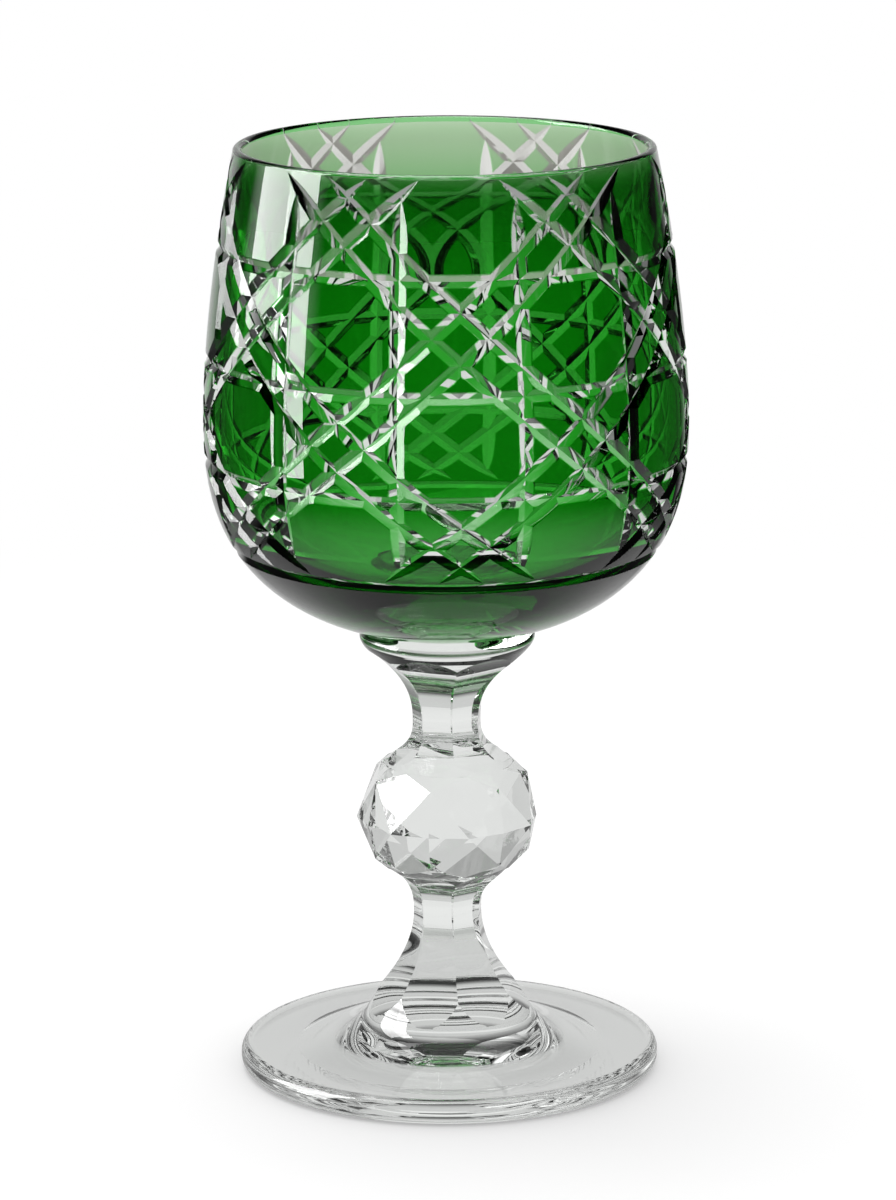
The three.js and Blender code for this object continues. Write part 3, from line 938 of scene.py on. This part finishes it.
# Matt white table: white to the camera, with the glass's shadow, and dark beyond its front edge
def buildFloor():
    half = studio["floorSize"] / 2
    points = [(x * half * metre, y * half * metre, -studio["floorDrop"] * metre)
              for x, y in ((-1, -1), (1, -1), (1, 1), (-1, 1))]
    floor = newPiece("floor", points, [(0, 1, 2, 3)])
    look, tree = newMaterial("mattWhiteTable")
    rays = addNode(tree, "ShaderNodeLightPath")
    place = addNode(tree, "ShaderNodeTexCoord")
    parts = addNode(tree, "ShaderNodeSeparateXYZ", {}, {"Vector": place.outputs["Object"]})
    matt = addNode(tree, "ShaderNodeBsdfDiffuse", {"Color": toLinear(studio["tableColour"])})
    white = addNode(tree, "ShaderNodeEmission", {"Strength": 1.0})
    away = addNode(tree, "ShaderNodeVectorMath", {"operation": "LENGTH"}, {
        "Vector": place.outputs["Object"]})
    low, high = studio["ownLightFrom"]
    share = addNode(tree, "ShaderNodeMapRange", {
        "interpolation_type": "SMOOTHSTEP", "From Min": low, "From Max": high,
        "To Min": studio["ownLight"], "To Max": 1.0}, {"Value": away.outputs["Value"]})
    seen = addNode(tree, "ShaderNodeMixShader", {}, {
        0: share.outputs["Result"], 1: matt.outputs["BSDF"], 2: white.outputs["Emission"]})
    behind = addNode(tree, "ShaderNodeMath", {"operation": "DIVIDE"}, {
        0: parts.outputs["Y"], 1: away.outputs["Value"]})
    sides = []
    for low, high in (studio["sweepMirrored"], studio["sweepSide"]):
        sides.append(addNode(tree, "ShaderNodeMapRange", {
            "interpolation_type": "SMOOTHSTEP", "From Min": low, "From Max": high,
            "To Min": studio["roomDark"], "To Max": studio["sweep"]}, {
                "Value": behind.outputs["Value"]}))
    sweep = addNode(tree, "ShaderNodeMix", {"data_type": "FLOAT"}, {
        0: rays.outputs["Is Transmission Ray"],
        "A": sides[0].outputs["Result"], "B": sides[1].outputs["Result"]})
    low, high = studio["tableEdge"]
    table = addNode(tree, "ShaderNodeMapRange", {
        "interpolation_type": "SMOOTHSTEP", "From Min": low, "From Max": high,
        "To Min": studio["sweep"], "To Max": studio["roomDark"]}, {"Value": away.outputs["Value"]})
    edge = addNode(tree, "ShaderNodeMath", {"operation": "MAXIMUM"}, {
        0: sweep.outputs["Result"], 1: table.outputs["Result"]})
    lit = addNode(tree, "ShaderNodeEmission", {}, {"Strength": edge.outputs["Value"]})
    through = addNode(tree, "ShaderNodeMixShader", {0: studio["throughGlass"]}, {
        1: matt.outputs["BSDF"], 2: lit.outputs["Emission"]})
    low, high, shaded = studio["underGlass"]
    shade = addNode(tree, "ShaderNodeMapRange", {
        "interpolation_type": "SMOOTHSTEP", "From Min": low, "From Max": high,
        "To Min": shaded, "To Max": 1.0}, {"Value": away.outputs["Value"]})
    bright = addNode(tree, "ShaderNodeMath", {"operation": "MULTIPLY"}, {
        0: edge.outputs["Value"], 1: shade.outputs["Result"]})
    mirrored = addNode(tree, "ShaderNodeEmission", {}, {"Strength": bright.outputs["Value"]})
    glassy = addNode(tree, "ShaderNodeMixShader", {}, {
        0: rays.outputs["Is Transmission Ray"],
        1: mirrored.outputs["Emission"], 2: through.outputs["Shader"]})
    shown = addNode(tree, "ShaderNodeMixShader", {}, {
        0: rays.outputs["Is Camera Ray"], 1: glassy.outputs["Shader"], 2: seen.outputs["Shader"]})
    addNode(tree, "ShaderNodeOutputMaterial", {}, {"Surface": shown.outputs["Shader"]})
    floor.data.materials.append(look)


def buildWorld():
    world = bpy.data.worlds.new("studioRoom")
    bpy.context.scene.world = world
    world.use_nodes = True
    world.cycles.sampling_method = "NONE"
    tree = world.node_tree
    tree.nodes.clear()
    rays = addNode(tree, "ShaderNodeLightPath")
    place = addNode(tree, "ShaderNodeTexCoord")
    parts = addNode(tree, "ShaderNodeSeparateXYZ", {}, {"Vector": place.outputs["Generated"]})
    low, high = studio["sweepTop"]
    sweep = addNode(tree, "ShaderNodeMapRange", {
        "interpolation_type": "SMOOTHSTEP", "From Min": low, "From Max": high,
        "To Min": studio["sweepWall"], "To Max": studio["roomDark"]}, {"Value": parts.outputs["Z"]})
    sides = []
    for low, high in (studio["sweepMirrored"], studio["sweepSide"]):
        sides.append(addNode(tree, "ShaderNodeMapRange", {
            "interpolation_type": "SMOOTHSTEP", "From Min": low, "From Max": high,
            "To Min": studio["roomDark"], "To Max": 1.0}, {"Value": parts.outputs["Y"]}))
    back = addNode(tree, "ShaderNodeMix", {"data_type": "FLOAT"}, {
        0: rays.outputs["Is Transmission Ray"],
        "A": sides[0].outputs["Result"], "B": sides[1].outputs["Result"]})
    walls = addNode(tree, "ShaderNodeMath", {"operation": "MULTIPLY"}, {
        0: sweep.outputs["Result"], 1: back.outputs["Result"]})
    low, high = studio["ceilingFrom"]
    ceiling = addNode(tree, "ShaderNodeMapRange", {
        "interpolation_type": "SMOOTHSTEP", "From Min": low, "From Max": high,
        "To Min": 0.0, "To Max": studio["ceiling"]}, {"Value": parts.outputs["Z"]})
    toward = addNode(tree, "ShaderNodeVectorMath", {
        "operation": "DOT_PRODUCT", 1: studio["glowAlong"]}, {0: place.outputs["Generated"]})
    low, high = studio["glowFrom"]
    glow = addNode(tree, "ShaderNodeMapRange", {
        "interpolation_type": "SMOOTHSTEP", "From Min": low, "From Max": high,
        "To Min": 0.0, "To Max": studio["glow"]}, {"Value": toward.outputs["Value"]})
    lamps = addNode(tree, "ShaderNodeMath", {"operation": "ADD"}, {
        0: glow.outputs["Result"], 1: ceiling.outputs["Result"]})
    room = addNode(tree, "ShaderNodeMath", {"operation": "ADD"}, {
        0: walls.outputs["Value"], 1: lamps.outputs["Value"]})
    diffuse = addNode(tree, "ShaderNodeMix", {"data_type": "FLOAT", "B": studio["worldOnFloor"]},
                      {0: rays.outputs["Is Diffuse Ray"], "A": room.outputs["Value"]})
    seen = addNode(tree, "ShaderNodeMix", {"data_type": "FLOAT", "B": 1.0},
                   {0: rays.outputs["Is Camera Ray"], "A": diffuse.outputs["Result"]})
    sky = addNode(tree, "ShaderNodeBackground", {"Color": (1, 1, 1, 1)}, {
        "Strength": seen.outputs["Result"]})
    addNode(tree, "ShaderNodeOutputWorld", {}, {"Surface": sky.outputs["Background"]})


def addSoftbox(name, sizes):
    light = bpy.data.lights.new(name, "AREA")
    light.shape = "RECTANGLE"
    light.size, light.size_y = sizes["size"]
    light.energy = sizes["watts"]
    lamp = bpy.data.objects.new(name, light)
    bpy.context.scene.collection.objects.link(lamp)
    place = Vector(sizes["place"])
    turn = (place - Vector(sizes["aim"])).to_track_quat("Z", "Y")
    lamp.matrix_world = Matrix.Translation(place) @ turn.to_matrix().to_4x4()
    lamp.visible_camera = False
    lamp.visible_transmission = False
    lamp.visible_diffuse = sizes["onMatt"]
    lamp.visible_glossy = sizes["mirrored"]
    return lamp


def addCamera():
    data = bpy.data.cameras.new("photoCamera")
    data.lens = cameraSizes["lens"]
    data.sensor_width = cameraSizes["sensor"]
    data.shift_x = cameraSizes["shift"]
    data.clip_start, data.clip_end = cameraSizes["clip"]
    camera = bpy.data.objects.new("photoCamera", data)
    bpy.context.scene.collection.objects.link(camera)
    azimuth = math.radians(cameraSizes["azimuth"])
    camera.matrix_world = (
        Matrix.Rotation(azimuth, 4, "Z")
        @ Matrix.Translation((0, -cameraSizes["distance"], cameraSizes["height"]))
        @ Matrix.Rotation(math.radians(90 - cameraSizes["pitch"]), 4, "X")
        @ Matrix.Rotation(math.radians(cameraSizes["roll"]), 4, "Z"))
    bpy.context.scene.camera = camera


buildFloor()
buildWorld()
boxes = {name: addSoftbox(name, sizes) for name, sizes in softboxes.items()}
lit = bpy.data.collections.new("litByRimBox")  # the bowl with its painted veil of sheen, and nothing else
lit.objects.link(clearBowl)
boxes["rimBox"].light_linking.receiver_collection = lit
addCamera()

scene = bpy.context.scene
scene.view_settings.view_transform = "Standard"
for name, steps in lightSteps.items():
    setattr(scene.cycles, name, steps)
scene.cycles.caustics_refractive = False
scene.cycles.caustics_reflective = False
print("stage: floor, lights and camera made")
